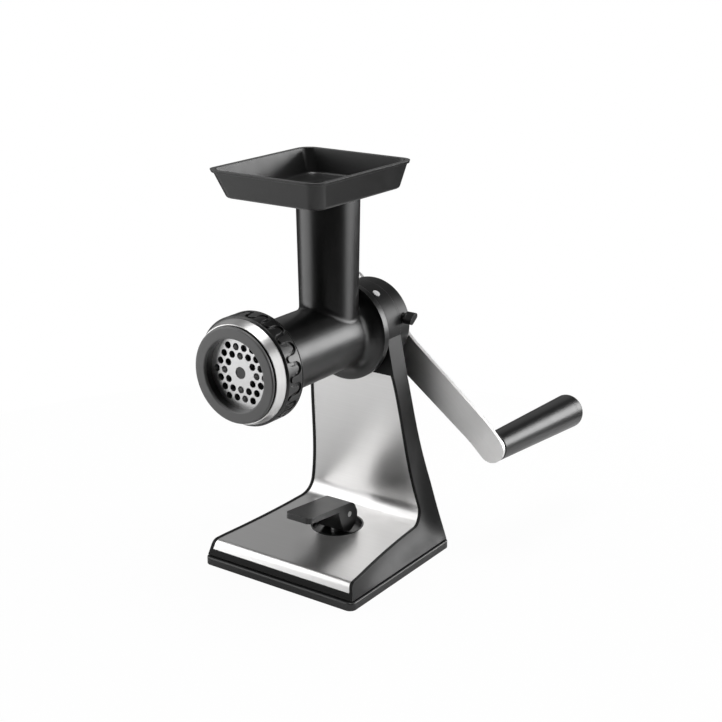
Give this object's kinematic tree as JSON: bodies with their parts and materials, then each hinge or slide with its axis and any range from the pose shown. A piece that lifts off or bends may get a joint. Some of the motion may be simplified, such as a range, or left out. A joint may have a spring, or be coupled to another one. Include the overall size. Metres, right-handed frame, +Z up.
{
  "type": "hand crank grinder",
  "caption": "Hand crank grinder with hopper tray, ring nut and bent steel crank on a black stand with a brushed steel front and a suction foot",
  "frame": {"origin": "on the table, under the middle of the foot rim's front bar, in the plane of symmetry of the stand", "axes": "+Z up, the outlet faces -Y, the crank is at +Y, the grinding axis runs along Y at z = 0.166 m"},
  "size_m": [0.176, 0.2851, 0.2895],
  "materials": {
    "foot_rim": "satin moulded dark grey plastic",
    "base_plate": "satin moulded black plastic",
    "base_screws": "plain steel",
    "stand_housing": "satin moulded black plastic",
    "front_sheet": "brushed stainless steel",
    "rear_cover": "satin moulded black plastic",
    "cover_screws": "plain steel",
    "lever_well": "satin moulded black plastic",
    "suction_cup": "soft black rubber",
    "suction_stem": "plain steel",
    "lever_pin": "plain steel",
    "suction_lever": "satin moulded black plastic",
    "socket_ring": "satin moulded black plastic",
    "rear_cap": "satin moulded black plastic",
    "rear_bush": "plain bearing metal",
    "front_bush": "plain bearing metal",
    "lock_mark": "pale moulded mark, left bare",
    "lock_latch": "satin moulded dark grey plastic",
    "grinder_body": "satin moulded black plastic",
    "hole_disc": "plain steel",
    "knife": "plain steel",
    "auger": "satin moulded dark grey plastic",
    "ring_nut": "satin moulded black plastic",
    "ring_band": "brushed stainless steel",
    "ring_face": "satin moulded dark grey plastic",
    "hopper_tray": "satin moulded dark grey plastic",
    "drive_shaft": "plain steel",
    "thrust_washer": "plain steel",
    "crank_arm": "brushed stainless steel",
    "crank_hub": "satin moulded black plastic",
    "hub_screw": "plain steel",
    "grip_axle": "plain steel",
    "grip_washer": "plain steel",
    "handle_grip": "satin moulded black plastic",
    "grip_cap": "satin moulded black plastic"
  },
  "bodies": {
    "stand": {"foot_rim": "foot_rim", "base_plate": "base_plate", "base_screws": "base_screws", "stand_housing": "stand_housing", "front_sheet": "front_sheet", "rear_cover": "rear_cover", "cover_screws": "cover_screws", "lever_well": "lever_well", "suction_cup": "suction_cup", "socket_ring": "socket_ring", "rear_cap": "rear_cap", "rear_bush": "rear_bush", "front_bush": "front_bush", "lock_mark": "lock_mark", "grinder_body": "grinder_body"},
    "stem": {"suction_stem": "suction_stem", "lever_pin": "lever_pin"},
    "lever": {"suction_lever": "suction_lever"},
    "lock": {"lock_latch": "lock_latch"},
    "disc": {"hole_disc": "hole_disc"},
    "nut": {"ring_nut": "ring_nut", "ring_band": "ring_band", "ring_face": "ring_face"},
    "tray": {"hopper_tray": "hopper_tray"},
    "crank": {"drive_shaft": "drive_shaft", "thrust_washer": "thrust_washer", "crank_arm": "crank_arm", "crank_hub": "crank_hub", "hub_screw": "hub_screw", "grip_axle": "grip_axle", "grip_washer": "grip_washer", "auger": "auger", "knife": "knife"},
    "grip": {"handle_grip": "handle_grip", "grip_cap": "grip_cap"}
  },
  "joints": [
    {"name": "crank_turn", "type": "hinge", "parent": "stand", "child": "crank", "pos_m": [0, 0.1185, 0.166], "axis": [0, 1, 0], "continuous": true},
    {"name": "grip_turn", "type": "hinge", "parent": "crank", "child": "grip", "pos_m": [0.09364, 0.12627, 0.08169], "axis": [0.0389, 0.9986, -0.035], "continuous": true},
    {"name": "stem_slide", "type": "slide", "parent": "stand", "child": "stem", "axis": [0, 0, -1], "range_m": [0, 0.004], "deforming": ["suction_cup"]},
    {"name": "lever_swing", "type": "hinge", "parent": "stem", "child": "lever", "pos_m": [0, 0.0685, 0.031], "axis": [-1, 0, 0], "range_deg": [0, 90]},
    {"name": "disc_slide", "type": "slide", "parent": "stand", "child": "disc", "axis": [0, -1, 0], "range_m": [0, 0.009]},
    {"name": "nut_turn", "type": "hinge", "parent": "disc", "child": "nut", "pos_m": [0, -0.0375, 0.166], "axis": [0, -1, 0], "range_deg": [0, 1080]},
    {"name": "tray_lift", "type": "slide", "parent": "stand", "child": "tray", "axis": [0, 0, 1], "range_m": [0, 0.03]},
    {"name": "lock_turn", "type": "hinge", "parent": "stand", "child": "lock", "pos_m": [0.0318, 0.1085, 0.1735], "axis": [1, 0, 0], "range_deg": [0, 90]}
  ],
  "couplings": [
    {"joint": "lever_swing", "follows": "stem_slide", "rad_per_m": 392.7},
    {"joint": "nut_turn", "follows": "disc_slide", "rad_per_m": 2094.4}
  ]
}
